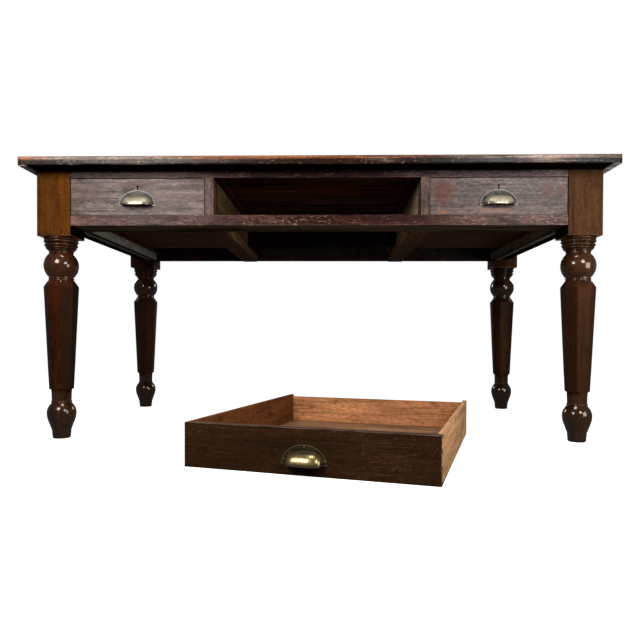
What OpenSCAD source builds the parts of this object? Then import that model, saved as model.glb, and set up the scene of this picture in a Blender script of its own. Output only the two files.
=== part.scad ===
// Writing table on turned legs with three drawers in its frieze. The middle drawer
// is out of the table and stands on the floor in front of it, turned to one side.
// The frame has +X to the right, +Y to the back and +Z up. Its origin is on the floor,
// in the middle of the area that the table and the drawer on the floor cover.

/* [Top] */
// Height of the writing surface above the floor
table_h = 738; // [680:1:800]
// Length of the top
top_l = 1534; // [1390:1:1700]
// Depth of the top from front to back
top_w = 915; // [880:1:1000]
// Thickness of the top
top_t = 25; // [20:1:32]
// Radius of the worn upper edge of the top
top_edge_r = 7; // [4:0.5:10]
// Radius of the lower edge of the top
under_edge_r = 5; // [2:0.5:6]
// Radius of the top's corners seen from above
top_corner_r = 9; // [4:1:20]
// How far the top stands out past the legs at each end
end_overhang = 25; // [12:0.5:40]
// How far the top stands out past the legs at the front and the back
front_overhang = 54; // [30:1:70]

/* [Legs] */
// Side of the square block at the top of a leg
leg_block = 90; // [84:1:96]
// Length of the square block
block_h = 170; // [155:1:180]
// Width of the chamfer along the block's edges
block_edge = 1.5; // [0.5:0.5:3]
// Diameter of the ball
ball_d = 89.2; // [80:0.2:92]
// Distance from the block down to the middle of the ball
ball_drop = 74.5; // [72:0.5:76]
// Distance from the block down to the widest point of the shaft
shaft_drop = 132; // [128:0.5:136]
// Width of the eight-sided shaft across its corners, at the top
shaft_top_d = 89.8; // [80:0.2:92]
// Width of the eight-sided shaft across its corners, at the bottom
shaft_low_d = 63.8; // [58:0.2:68]
// Height of the shaft's lower end above the floor
shaft_low_z = 135; // [130:0.5:150]
// Diameter of the neck between the ball and the shaft
collar_d = 63; // [58:1:66]
// Diameter of the ankle under the shaft
ankle_d = 50.2; // [44:0.2:52]
// Diameter of the foot's bulb
foot_d = 75.4; // [68:0.2:78]
// Height of the bulb's widest point
foot_z = 69; // [64:1:76]
// Diameter of the leg on the floor
toe_d = 45.8; // [38:0.2:48]

/* [Frame] */
// How far the rails and drawer fronts lie behind the legs' front faces
face_setback = 1; // [0:0.5:4]
// Depth of the two front rails from front to back
rail_d = 96; // [92:1:110]
// Thickness of the upper front rail and of the kickers
upper_rail_t = 18; // [15:1:24]
// Thickness of the lower front rail and the bearers
lower_rail_t = 27; // [22:1:27]
// Thickness of the side and back aprons
apron_t = 25; // [20:1:28]
// Height of the side and back aprons
apron_h = 138; // [130:1:150]
// How far the side aprons lie inside the legs' outer faces
side_apron_setback = 29.5; // [20:0.5:34]
// How far the back apron lies inside the legs' outer faces
back_apron_setback = 18; // [10:0.5:24]
// Length of the tenons in the legs
tenon_l = 30; // [20:1:38]
// Width of the muntins between the drawers
muntin_w = 22; // [18:1:28]
// Depth of the muntins from front to back
muntin_d = 60; // [40:1:80]
// Width of the bearers under the drawers, and of the kickers above them
bearer_w = 54; // [48:1:70]
// Width of the runners under the outer sides of the side drawers
runner_w = 32; // [30:1:34]
// Thickness of the runners
runner_t = 26; // [20:1:27]
// How far the runners and outer kickers reach inside the legs
runner_reach = 11; // [8:1:14]
// Width of the guide strips on the runners
guide_w = 20; // [12:1:21]
// Height of the guide strips on the runners
guide_h = 22; // [12:1:40]
// Length of the partitions behind the muntins
partition_l = 560; // [400:1:600]

/* [Drawers] */
// Width of the opening for the middle drawer
middle_open_w = 545; // [480:1:600]
// Height of the drawers
drawer_h = 95.5; // [90:0.5:100]
// Depth of the drawers from front to back
drawer_d = 640; // [540:1:680]
// Thickness of the drawer fronts
front_t = 20; // [18:1:24]
// Thickness of the drawer sides
side_t = 10; // [8:0.5:12]
// Thickness of the drawer backs
back_t = 10; // [8:0.5:12]
// How much lower the back is than the sides
back_drop = 6; // [3:1:12]
// Thickness of the drawer bottoms
bottom_t = 6; // [4:0.5:8]
// Height of the drawer bottoms above the lower edge of the sides
bottom_lift = 8; // [7.5:0.5:12]
// Depth of the grooves that hold the drawer bottoms
groove_d = 5; // [3:0.5:6]
// Wood left in front of the dovetails at the drawer front
lap = 5; // [4:0.5:7]
// Gap at each end of a drawer front
side_gap = 1.6; // [0.4:0.1:2.4]
// Gap above a drawer front
top_gap = 2.2; // [0.4:0.1:3]
// Gap under a drawer
run_gap = 0.3; // [0.1:0.1:0.5]

/* [Cup pulls and locks] */
// Width of a pull's plate
plate_w = 98; // [90:1:110]
// Height of a pull's plate
plate_h = 41; // [38:1:44]
// Thickness of a pull's plate and of its cup
plate_t = 1.6; // [1.2:0.1:2.4]
// Width of the plate that shows at each end of the cup
cup_end = 9; // [9:0.5:16]
// Height of the cup at the plate
cup_h = 28; // [26:0.5:29]
// How far the cup stands out from the drawer front
cup_out = 25; // [20:0.5:26]
// Height of the pull's lower edge on the middle drawer
middle_pull_z = 22.5; // [15:0.5:35]
// Height of the pull's lower edge on the side drawers
side_pull_z = 24; // [10:0.5:24]
// Distance from the top of a drawer down to the middle of its keyhole
keyhole_drop = 25; // [25:0.5:29]
// Width of a lock's case
lock_w = 46; // [40:1:60]
// Height of a lock's case
lock_h = 42; // [38:1:46]
// Depth of a lock's case
lock_d = 10; // [8:0.5:11]
// Width of a lock's bolt
bolt_w = 18; // [12:1:24]
// Thickness of a lock's bolt
bolt_t = 5; // [3:0.5:6]
// Travel of a lock's bolt
bolt_travel = 7; // [5:0.5:8]

/* [Drawer on the floor] */
// Distance from the middle of the table to the middle of the drawer front, to the right
loose_x = -12; // [-60:1:60]
// Distance from the legs forward to the middle of the drawer front
loose_out = 374; // [340:1:500]
// Turn of the drawer about the vertical
loose_turn = -16.5; // [-20:0.5:-10]

/* [Hidden] */

$fn = 64;
// Clearance round tenons, dovetails and panels
fit = 0.1;
// Overrun of a cutter past the face that it cuts
cut = 1;

// Colours
top_c = [0.30, 0.16, 0.10];
leg_c = [0.42, 0.20, 0.10];
rail_c = [0.33, 0.20, 0.18];
front_c = [0.27, 0.15, 0.11];
inner_c = [0.70, 0.43, 0.25];
bare_c = [0.55, 0.40, 0.28];
brass_c = [0.72, 0.60, 0.36];
iron_c = [0.22, 0.20, 0.19];

// Places in the table, with the middle of its plan at x = 0, y = 0
under_top = table_h - top_t;
leg_x = top_l / 2 - end_overhang - leg_block / 2;
leg_y = top_w / 2 - front_overhang - leg_block / 2;
leg_in_x = leg_x - leg_block / 2;
leg_in_y = leg_y - leg_block / 2;
face_y = -leg_y - leg_block / 2 + face_setback;
rail_back_y = face_y + rail_d;
open_top = under_top - upper_rail_t;
open_h = drawer_h + run_gap + top_gap;
open_low = open_top - open_h;
rail_low = open_low - lower_rail_t;
muntin_x = middle_open_w / 2 + muntin_w / 2;
apron_out_x = leg_x + leg_block / 2 - side_apron_setback;
apron_in_x = apron_out_x - apron_t;
apron_out_y = leg_y + leg_block / 2 - back_apron_setback;
apron_in_y = apron_out_y - apron_t;
apron_low = under_top - apron_h;
side_open_in = muntin_x + muntin_w / 2;
side_open_w = leg_in_x - side_open_in;
side_drawer_x = (side_open_in + leg_in_x) / 2;
drawer_z = open_low + run_gap;
middle_w = middle_open_w - 2 * side_gap;
side_w = side_open_w - 2 * side_gap;
runner_in_x = leg_in_x - runner_reach;
runner_low = open_low - runner_t;
outer_kicker_w = apron_in_x - runner_in_x;

// The drawer on the floor, and the shift that puts the origin in the middle of the group
loose_y = -leg_y - leg_block / 2 - loose_out;
loose_corner_y = loose_y + middle_w / 2 * sin(loose_turn);
group_y = -(loose_corner_y + top_w / 2) / 2;

// Top boards
board_count = 3;
board_w = top_w / board_count;

// Leg turning: beads under the block as drop, half height and radius
block_beads = [[2.8, 3.5, 44.2], [10.4, 4, 44.2], [20.4, 4, 42.6], [27.2, 3, 39.6], [32, 2.2, 35.6]];
neck_r = 31.3;
collar_bead = 2.2;
collar_ledge = 0.5;
ring_h = 4;
toe_edge = 2;
toe_taper_h = 23;
bulb_up_r = 34;
bulb_up_turn = 37;
bulb_low_r = 62;
bulb_low_turn = 20;
flat_round = 0.99;

// Joints
rail_tenon_t = 12;
rail_tenon_w = 25;
rail_tenon_gap = (leg_block - face_setback - 2 * rail_tenon_w) / 3;
rail_tail_l = 26;
rail_tail_root = 40;
rail_tail_end = 52;
apron_tenon_t = 9;
apron_shoulder = 18;
stub_l = 10;
stub_t = 8;
stub_w = 40;
bearer_stub_l = 12;
bearer_stub_t = 9;
bearer_stub_w = 34;
runner_stub_l = 8;
runner_stub_w = 15;
runner_stub_t = 9;
kicker_stub_t = 6;

// Screws that hold the top, and glue blocks behind it
screw_shank_d = 5;
screw_head_d = 10;
screw_head_h = 3;
screw_bite = 14;
rail_screws_x = [-560, -140, 140, 560];
kicker_screws_y = [-150, 190];
block_leg = 32;
block_l = 90;
block_end_gap = 27;

// Drawer stops
stop_w = 34;
stop_d = 14;
stop_h = 5;
stop_inset = 60;

// Dovetails
slope = 1 / 7;
front_tails = 3;
back_tails = 3;
half_pin = 6;
pin_w = 7;

// Pulls and locks
pull_shank_d = 3;
pull_head_d = 5;
pull_bite = 9;
pull_end_in = 6.5;
pull_end_z = 9;
pull_top_drop = 6;
plate_rim_w = 2.2;
plate_rim_t = 0.8;
cup_w = plate_w - 2 * cup_end;
cup_power = 0.62;
dome_steps = 28;
cup_low = 1;
key_round_d = 5.5;
key_slot_w = 3;
key_slot_h = 10;
key_depth = 3;
lock_plate_t = 1.6;
lock_flange = 8;
lock_screw_d = 2.4;
lock_screw_head = 5;
lock_screw_l = 9;
bolt_h = 16;
bolt_fit = 0.15;

// Table joints

module rail_tenons(side, grow)
{
    for (row = [0, 1])
        translate([side > 0 ? leg_in_x - cut : -leg_in_x - tenon_l - grow,
                   face_y + rail_tenon_gap + row * (rail_tenon_w + rail_tenon_gap) - grow,
                   rail_low + (lower_rail_t - rail_tenon_t) / 2 - grow])
            cube([tenon_l + cut + grow, rail_tenon_w + 2 * grow, rail_tenon_t + 2 * grow]);
}

module rail_tail(side, grow)
{
    mirror([side > 0 ? 0 : 1, 0, 0])
        translate([leg_in_x, -leg_y, open_top - grow])
            linear_extrude(upper_rail_t + grow + (grow > 0 ? cut : 0))
                polygon([
                    [-cut, -rail_tail_root / 2 - grow],
                    [0, -rail_tail_root / 2 - grow],
                    [rail_tail_l + grow, -rail_tail_end / 2 - grow],
                    [rail_tail_l + grow, rail_tail_end / 2 + grow],
                    [0, rail_tail_root / 2 + grow],
                    [-cut, rail_tail_root / 2 + grow]
                ]);
}

module side_apron_tenon(side, end, grow)
{
    middle = side * (apron_out_x - apron_t / 2);
    translate([middle - apron_tenon_t / 2 - grow,
               end > 0 ? leg_in_y - cut : -leg_in_y - tenon_l - grow,
               apron_low + apron_shoulder - grow])
        cube([apron_tenon_t + 2 * grow, tenon_l + cut + grow,
              apron_h - 2 * apron_shoulder + 2 * grow]);
}

module back_apron_tenon(side, grow)
{
    translate([side > 0 ? leg_in_x - cut : -leg_in_x - tenon_l - grow,
               apron_out_y - apron_t / 2 - apron_tenon_t / 2 - grow,
               apron_low + apron_shoulder - grow])
        cube([tenon_l + cut + grow, apron_tenon_t + 2 * grow,
              apron_h - 2 * apron_shoulder + 2 * grow]);
}

module muntin_stub(side, up, grow)
{
    translate([side * muntin_x - stub_t / 2 - grow,
               face_y + (muntin_d - stub_w) / 2 - grow,
               up ? open_top - cut : open_low - stub_l - grow])
        cube([stub_t + 2 * grow, stub_w + 2 * grow, stub_l + cut + grow]);
}

// Stub tenon of a bearer or kicker, in the rail at the front or the apron at the back
module bar_stub(side, at_front, middle_z, thick, grow)
{
    translate([side * muntin_x - bearer_stub_w / 2 - grow,
               at_front ? rail_back_y - bearer_stub_l - grow : apron_in_y - cut,
               middle_z - thick / 2 - grow])
        cube([bearer_stub_w + 2 * grow, bearer_stub_l + cut + grow, thick + 2 * grow]);
}

bearer_mid_z = rail_low + lower_rail_t / 2;
kicker_mid_z = open_top + upper_rail_t / 2;

// Places of the screws that hold the top: each is x, y
function top_screw_places() = concat(
    [for (x = rail_screws_x) [x, face_y + rail_d / 2]],
    [for (side = [-1, 1], y = kicker_screws_y) [side * (runner_in_x + outer_kicker_w / 2), y]],
    [for (side = [-1, 1], y = kicker_screws_y) [side * muntin_x, y]]
);

module top_screw(grow)
{
    translate([0, 0, open_top])
        cylinder(h = upper_rail_t + screw_bite + grow, d = screw_shank_d + 2 * grow);
    translate([0, 0, open_top])
        cylinder(h = screw_head_h, d1 = screw_head_d + 2 * grow, d2 = screw_shank_d + 2 * grow);
}

module top_screw_holes()
{
    for (place = top_screw_places())
        translate([place[0], place[1], 0])
        {
            top_screw(fit);
            translate([0, 0, open_top - cut])
                cylinder(h = cut, d = screw_head_d + 2 * fit);
        }
}

// Top

// Side view of the top from one end, with its rounded edges
module edge_profile(width)
{
    half = width / 2;
    union()
    {
        translate([-half, under_edge_r])
            square([width, top_t - under_edge_r - top_edge_r]);
        translate([-half + under_edge_r, 0])
            square([width - 2 * under_edge_r, top_t - top_edge_r]);
        translate([-half + top_edge_r, under_edge_r])
            square([width - 2 * top_edge_r, top_t - under_edge_r]);
        for (side = [-1, 1])
        {
            translate([side * (half - top_edge_r), top_t - top_edge_r]) circle(r = top_edge_r);
            translate([side * (half - under_edge_r), under_edge_r]) circle(r = under_edge_r);
        }
    }
}

module top_slab()
{
    intersection()
    {
        translate([-top_l / 2, 0, under_top])
            rotate([90, 0, 90])
                linear_extrude(top_l) edge_profile(top_w);
        translate([0, top_w / 2, under_top])
            rotate([90, 0, 0])
                linear_extrude(top_w) edge_profile(top_l);
        translate([0, 0, under_top - cut])
            linear_extrude(top_t + 2 * cut)
                union()
                {
                    square([top_l, top_w - 2 * top_corner_r], center = true);
                    square([top_l - 2 * top_corner_r, top_w], center = true);
                    for (sx = [-1, 1], sy = [-1, 1])
                        translate([sx * (top_l / 2 - top_corner_r), sy * (top_w / 2 - top_corner_r)])
                            circle(r = top_corner_r);
                }
    }
}

module top_board(index)
{
    color(top_c)
        difference()
        {
            intersection()
            {
                top_slab();
                translate([-top_l / 2 - cut, -top_w / 2 + index * board_w, under_top - cut])
                    cube([top_l + 2 * cut, board_w, top_t + 2 * cut]);
            }
            top_screw_holes();
        }
}

// Legs

module block()
{
    half = leg_block / 2;
    e = block_edge;
    linear_extrude(block_h)
        polygon([
            [-half + e, -half], [half - e, -half], [half, -half + e], [half, half - e],
            [half - e, half], [-half + e, half], [-half, half - e], [-half, -half + e]
        ]);
}

shoulder_h = (shaft_top_d - collar_d) / 2 * 1.15;
shoulder_top_r = (collar_d / 2 + collar_ledge) / cos(22.5);

// Half outline of the turned part, from the floor up to the block
module turning()
{
    block_z = under_top - block_h;
    ball_z = block_z - ball_drop;
    shaft_z = block_z - shaft_drop;
    up_x = foot_d / 2 - bulb_up_r * (1 - cos(bulb_up_turn));
    up_z = foot_z + bulb_up_r * sin(bulb_up_turn);
    low_x = foot_d / 2 - bulb_low_r * (1 - cos(bulb_low_turn));
    low_z = foot_z - bulb_low_r * sin(bulb_low_turn);
    ankle_z = up_z + (up_x - ankle_d / 2) / tan(bulb_up_turn);
    // Core from block to ball, and the beads on it
    for (bead = block_beads)
    {
        translate([bead[2] - bead[1], block_z - bead[0]]) circle(r = bead[1]);
        translate([0, block_z - bead[0] - bead[1]])
            square([bead[2] - bead[1], bead[0] + bead[1] + cut]);
    }
    translate([0, ball_z]) square([neck_r, ball_drop]);
    // Ball, on the collar with its small bead
    intersection()
    {
        translate([0, ball_z]) circle(d = ball_d);
        translate([0, ball_z - ball_d / 2]) square(ball_d);
    }
    translate([0, shaft_z + shoulder_h - cut])
        square([collar_d / 2, ball_z - shaft_z - shoulder_h]);
    for (row = [1, 3])
        translate([collar_d / 2 - collar_bead / 2, shaft_z + shoulder_h + row * collar_bead])
            circle(r = collar_bead);
    // Shoulder, shaft and its lower bevel, as the blank that the flats are cut from
    polygon([
        [0, shaft_low_z - ring_h],
        [ankle_d / 2 + 1, shaft_low_z - ring_h],
        [shaft_low_d / 2 * flat_round, shaft_low_z],
        [shaft_top_d / 2 * flat_round, shaft_z],
        [shoulder_top_r * flat_round, shaft_z + shoulder_h],
        [0, shaft_z + shoulder_h]
    ]);
    // Ankle and foot
    polygon([
        [0, foot_z], [ankle_d / 2, foot_z],
        [ankle_d / 2, ankle_z + ring_h],
        [ankle_d / 2 + 1, shaft_low_z - ring_h + cut], [0, shaft_low_z - ring_h + cut]
    ]);
    translate([ankle_d / 2, ankle_z + ring_h / 2]) circle(d = ring_h);
    intersection()
    {
        translate([foot_d / 2 - bulb_up_r, foot_z]) circle(r = bulb_up_r);
        translate([0, foot_z]) square([foot_d, up_z - foot_z]);
    }
    intersection()
    {
        translate([foot_d / 2 - bulb_low_r, foot_z]) circle(r = bulb_low_r);
        translate([0, low_z]) square([foot_d, foot_z - low_z]);
    }
    polygon([
        [0, up_z - cut], [up_x, up_z], [ankle_d / 2, ankle_z],
        [ankle_d / 2, ankle_z + cut], [0, ankle_z + cut]
    ]);
    polygon([
        [0, 0], [toe_d / 2 - toe_edge, 0], [toe_d / 2, toe_edge],
        [low_x - (low_z - toe_taper_h) * tan(bulb_low_turn), toe_taper_h],
        [low_x, low_z], [0, low_z + cut]
    ]);
}

module leg_blank()
{
    block_z = under_top - block_h;
    shaft_z = block_z - shaft_drop;
    apothem_top = shaft_top_d / 2 * cos(22.5);
    apothem_low = shaft_low_d / 2 * cos(22.5);
    below = ring_h + cut;
    taper = (apothem_top - apothem_low) / (shaft_z - shaft_low_z);
    translate([0, 0, block_z]) block();
    difference()
    {
        rotate_extrude() turning();
        for (flat = [0:7])
            rotate([0, 0, flat * 45])
                translate([0, leg_block / 2, 0])
                    rotate([90, 0, 0])
                        linear_extrude(leg_block)
                            polygon([
                                [apothem_low - below * taper, shaft_low_z - below],
                                [leg_block, shaft_low_z - below],
                                [leg_block, shaft_z + shoulder_h],
                                [shoulder_top_r * cos(22.5), shaft_z + shoulder_h],
                                [apothem_top, shaft_z]
                            ]);
    }
}

module leg(side, end)
{
    color(leg_c)
        difference()
        {
            translate([side * leg_x, end * leg_y, 0]) leg_blank();
            side_apron_tenon(side, end, fit);
            runner_stub(side, end, fit);
            if (end < 0)
            {
                rail_tenons(side, fit);
                rail_tail(side, fit);
            }
            if (end > 0) back_apron_tenon(side, fit);
        }
}

// Rails, aprons and muntins

module upper_front_rail()
{
    color(rail_c)
        difference()
        {
            union()
            {
                translate([-leg_in_x, face_y, open_top])
                    cube([2 * leg_in_x, rail_d, upper_rail_t]);
                for (side = [-1, 1]) rail_tail(side, 0);
            }
            for (side = [-1, 1])
            {
                muntin_stub(side, true, fit);
                bar_stub(side, true, kicker_mid_z, kicker_stub_t, fit);
                translate([side * side_drawer_x, 0, 0]) bolt_mortise();
            }
            top_screw_holes();
        }
}

module lower_front_rail()
{
    color(rail_c)
        difference()
        {
            union()
            {
                translate([-leg_in_x, face_y, rail_low])
                    cube([2 * leg_in_x, rail_d, lower_rail_t]);
                for (side = [-1, 1]) rail_tenons(side, 0);
            }
            for (side = [-1, 1])
            {
                muntin_stub(side, false, fit);
                bar_stub(side, true, bearer_mid_z, bearer_stub_t, fit);
            }
        }
}

module muntin(side)
{
    color(rail_c)
    {
        translate([side * muntin_x - muntin_w / 2, face_y, open_low])
            cube([muntin_w, muntin_d, open_h]);
        muntin_stub(side, true, 0);
        muntin_stub(side, false, 0);
    }
}

module side_apron(side)
{
    color(rail_c)
    {
        translate([side > 0 ? apron_in_x : -apron_out_x, -leg_in_y, apron_low])
            cube([apron_t, 2 * leg_in_y, apron_h]);
        side_apron_tenon(side, 1, 0);
        side_apron_tenon(side, -1, 0);
    }
}

module back_apron()
{
    color(rail_c)
        difference()
        {
            union()
            {
                translate([-leg_in_x, apron_in_y, apron_low])
                    cube([2 * leg_in_x, apron_t, apron_h]);
                for (side = [-1, 1]) back_apron_tenon(side, 0);
            }
            for (side = [-1, 1])
            {
                bar_stub(side, false, bearer_mid_z, bearer_stub_t, fit);
                bar_stub(side, false, kicker_mid_z, kicker_stub_t, fit);
            }
        }
}

// Bearers, runners, guides, partitions and kickers

module bar(side, low_z, thick, stub)
{
    translate([side * muntin_x - bearer_w / 2, rail_back_y, low_z])
        cube([bearer_w, apron_in_y - rail_back_y, thick]);
    bar_stub(side, true, low_z + thick / 2, stub, 0);
    bar_stub(side, false, low_z + thick / 2, stub, 0);
}

module bearer(side)
{
    color(bare_c) bar(side, rail_low, lower_rail_t, bearer_stub_t);
}

module kicker(side)
{
    color(bare_c)
        difference()
        {
            bar(side, open_top, upper_rail_t, kicker_stub_t);
            top_screw_holes();
        }
}

// Stub tenon of a runner, in the front or the back leg
module runner_stub(side, end, grow)
{
    middle = side * (leg_in_x + (runner_w - runner_reach) / 2);
    translate([middle - runner_stub_w / 2 - grow,
               end > 0 ? leg_in_y - cut : -leg_in_y - runner_stub_l - grow,
               runner_low + (runner_t - runner_stub_t) / 2 - grow])
        cube([runner_stub_w + 2 * grow, runner_stub_l + cut + grow, runner_stub_t + 2 * grow]);
}

// Runner, notched round the front leg where the rail stands back from it
module runner(side)
{
    color(bare_c)
    {
        translate([0, 0, runner_low])
            linear_extrude(runner_t)
                union()
                {
                    translate([side > 0 ? runner_in_x : -leg_in_x, rail_back_y])
                        square([runner_reach, leg_in_y - rail_back_y]);
                    translate([side > 0 ? leg_in_x : -runner_in_x - runner_w, -leg_in_y])
                        square([runner_w - runner_reach, 2 * leg_in_y]);
                }
        for (end = [-1, 1]) runner_stub(side, end, 0);
    }
}

module outer_kicker(side)
{
    color(bare_c)
        difference()
        {
            translate([side > 0 ? runner_in_x : -apron_in_x, rail_back_y, open_top])
                cube([outer_kicker_w, leg_in_y - rail_back_y, upper_rail_t]);
            top_screw_holes();
        }
}

module guide(side)
{
    color(bare_c)
        translate([side > 0 ? leg_in_x : -leg_in_x - guide_w, rail_back_y, open_low])
            cube([guide_w, leg_in_y - rail_back_y, guide_h]);
}

module partition(side)
{
    color(bare_c)
        translate([side * muntin_x - muntin_w / 2, face_y + muntin_d, open_low])
            cube([muntin_w, partition_l, open_h]);
}

module stop_pair(middle_x, width)
{
    for (side = [-1, 1])
        translate([middle_x + side * (width / 2 - stop_inset) - stop_w / 2,
                   face_y + front_t + run_gap, open_low])
            cube([stop_w, stop_d, stop_h]);
}

module drawer_stops()
{
    color(bare_c)
    {
        stop_pair(0, middle_w);
        stop_pair(-side_drawer_x, side_w);
        stop_pair(side_drawer_x, side_w);
    }
}

module top_screws()
{
    color(iron_c)
        for (place = top_screw_places())
            translate([place[0], place[1], 0]) top_screw(0);
}

module glue_blocks()
{
    outer_x = leg_in_x - block_end_gap - block_l / 2;
    inner_x = (muntin_x + bearer_w / 2 + outer_x - block_l / 2) / 2;
    color(bare_c)
        for (x = [-outer_x, -inner_x, inner_x, outer_x])
            translate([x - block_l / 2, apron_in_y, under_top])
                rotate([90, 0, 90])
                    linear_extrude(block_l)
                        polygon([[0, 0], [-block_leg, 0], [0, -block_leg]]);
}

// Drawers, each with the middle of its front's lower edge at x = 0, y = 0, z = 0

back_low = bottom_lift + bottom_t + fit;
back_top = drawer_h - back_drop;

// One row of tails seen from the side, growing along +y from their roots at y = 0
module tail_row(low, high, count, length, grow)
{
    tail_w = (high - low - 2 * half_pin - (count - 1) * pin_w) / count;
    narrow = length * slope;
    for (i = [0:count - 1])
        translate([0, low + half_pin + i * (tail_w + pin_w)])
            polygon([
                [-cut, narrow - grow],
                [0, narrow - grow],
                [length + grow, -grow],
                [length + grow, tail_w + grow],
                [0, tail_w - narrow + grow],
                [-cut, tail_w - narrow + grow]
            ]);
}

// Places a side view on one side of a drawer, with its outer face at the drawer's edge
module on_side(side, width, thick)
{
    translate([side > 0 ? width / 2 - thick : -width / 2, 0, 0])
        rotate([90, 0, 90])
            linear_extrude(thick) children();
}

module front_tails(grow)
{
    translate([front_t, 0])
        mirror([1, 0]) tail_row(0, drawer_h, front_tails, front_t - lap, grow);
}

module back_tails(grow)
{
    translate([drawer_d - back_t, 0]) tail_row(back_low, back_top, back_tails, back_t, grow);
}

module pull_screw_places()
{
    translate([0, 0, plate_h - pull_top_drop]) children();
    for (side = [-1, 1])
        translate([side * (plate_w / 2 - pull_end_in), 0, pull_end_z]) children();
}

module keyhole(depth)
{
    translate([0, depth, drawer_h - keyhole_drop])
        rotate([90, 0, 0])
            linear_extrude(depth + cut)
                union()
                {
                    translate([0, key_slot_h / 2]) circle(d = key_round_d);
                    translate([-key_slot_w / 2, -key_slot_h / 2])
                        square([key_slot_w, key_slot_h]);
                }
}

// Outer shape of a lock: its case, its back plate and its top plate
module lock_body(grow)
{
    plate_w2 = lock_w + 2 * lock_flange;
    translate([-lock_w / 2 - grow, front_t - lock_d - grow, drawer_h - lock_h + cut - grow])
        cube([lock_w + 2 * grow, lock_d + grow, lock_h - cut + grow]);
    translate([-plate_w2 / 2 - grow, front_t - lock_plate_t - grow, drawer_h - lock_h - grow])
        cube([plate_w2 + 2 * grow, lock_plate_t + grow, lock_h + grow]);
    translate([-plate_w2 / 2 - grow, front_t - lock_d - grow, drawer_h - lock_plate_t - grow])
        cube([plate_w2 + 2 * grow, lock_d + grow, lock_plate_t + grow]);
}

module lock_screw_places()
{
    for (side = [-1, 1], drop = [0.3, 0.8])
        translate([side * (lock_w / 2 + lock_flange / 2), front_t, drawer_h - drop * lock_h])
            children();
}

module lock_screw(grow)
{
    rotate([90, 0, 0])
    {
        cylinder(h = lock_screw_l + grow, d = lock_screw_d + 2 * grow, $fn = 32);
        cylinder(h = lock_plate_t, d1 = lock_screw_head + 2 * grow,
                 d2 = lock_screw_d + 2 * grow, $fn = 32);
    }
}

bolt_y = front_t - lock_d / 2;

module bolt_mortise()
{
    deep = bolt_travel + cut;
    translate([-bolt_w / 2 - cut, face_y + bolt_y - bolt_t / 2 - cut, open_top - cut])
        cube([bolt_w + 2 * cut, bolt_t + 2 * cut, deep + cut]);
}

module drawer_front(width, pull_z, locked)
{
    color(front_c)
        difference()
        {
            translate([-width / 2, 0, 0]) cube([width, front_t, drawer_h]);
            for (side = [-1, 1])
                on_side(side, width + 2 * cut, side_t + cut + fit) front_tails(fit);
            translate([-width / 2 + side_t, front_t - groove_d - fit, bottom_lift - fit])
                cube([width - 2 * side_t, groove_d + fit + cut, bottom_t + 2 * fit]);
            translate([0, 0, pull_z])
                pull_screw_places()
                    rotate([-90, 0, 0])
                        translate([0, 0, -cut])
                            cylinder(h = pull_bite + cut + fit, d = pull_shank_d + 2 * fit, $fn = 32);
            if (locked)
            {
                keyhole(front_t);
                lock_body(fit);
                lock_screw_places() lock_screw(fit);
            }
        }
}

module drawer_side(width, side)
{
    edge = width / 2 - side_t;
    color(inner_c)
        difference()
        {
            on_side(side, width, side_t)
                union()
                {
                    translate([front_t, 0]) square([drawer_d - back_t - front_t, drawer_h]);
                    translate([front_t, 0])
                        square([drawer_d - front_t, back_low - fit]);
                    translate([drawer_d - back_t - cut, back_top + fit])
                        square([back_t + cut, back_drop - fit]);
                    front_tails(0);
                    back_tails(0);
                }
            translate([side > 0 ? edge - cut : -edge - groove_d, front_t, bottom_lift - fit])
                cube([groove_d + cut, drawer_d - front_t + cut, bottom_t + 2 * fit]);
        }
}

module drawer_back(width)
{
    color(inner_c)
        difference()
        {
            translate([-width / 2, drawer_d - back_t, back_low])
                cube([width, back_t, back_top - back_low]);
            for (side = [-1, 1])
                on_side(side, width + 2 * cut, side_t + cut + fit) back_tails(fit);
        }
}

module drawer_bottom(width)
{
    inner = width - 2 * side_t - 2 * fit;
    outer = width - 2 * side_t + 2 * groove_d - 2 * fit;
    color(inner_c)
    {
        translate([-inner / 2, front_t - groove_d, bottom_lift])
            cube([inner, drawer_d - front_t + groove_d, bottom_t]);
        translate([-outer / 2, front_t + fit, bottom_lift])
            cube([outer, drawer_d - front_t - fit, bottom_t]);
    }
}

// Upper half of an oval; a power of 1 gives an ellipse, and less a squarer shape
module dome(half, high, power)
{
    polygon([
        for (place = [0:dome_steps])
            let (turn = 180 * place / dome_steps)
                [half * sign(cos(turn)) * pow(abs(cos(turn)), power), high * pow(sin(turn), power)]
    ]);
}

// Whole body of revolution that the cup is a quarter of, about an axis along x
module cup_body(inset)
{
    rotate([0, 90, 0])
        rotate_extrude($fn = 96)
            rotate([0, 0, -90])
                dome(cup_w / 2 - inset, cup_h + cup_low - inset, cup_power);
}

// Cup pull, with its lower edge at z = 0 and its plate against the drawer front
module pull()
{
    cup_y = cup_h + cup_low - cup_out;
    color(brass_c)
        difference()
        {
            union()
            {
                rotate([90, 0, 0])
                    linear_extrude(plate_t) dome(plate_w / 2, plate_h, 1);
                rotate([90, 0, 0])
                    linear_extrude(plate_t + plate_rim_t)
                        difference()
                        {
                            dome(plate_w / 2, plate_h, 1);
                            translate([0, plate_rim_w])
                                dome(plate_w / 2 - plate_rim_w, plate_h - 2 * plate_rim_w, 1);
                        }
                intersection()
                {
                    translate([0, cup_y, -cup_low]) cup_body(0);
                    translate([-plate_w, -cup_out - cut, 0])
                        cube([2 * plate_w, cup_out + cut, plate_h]);
                }
            }
            translate([0, cup_y, -cup_low]) cup_body(plate_t);
            pull_screw_places()
                rotate([90, 0, 0])
                    translate([0, 0, -cut])
                        cylinder(h = plate_t + 2 * cut, d = pull_shank_d + 2 * fit, $fn = 32);
        }
}

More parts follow.
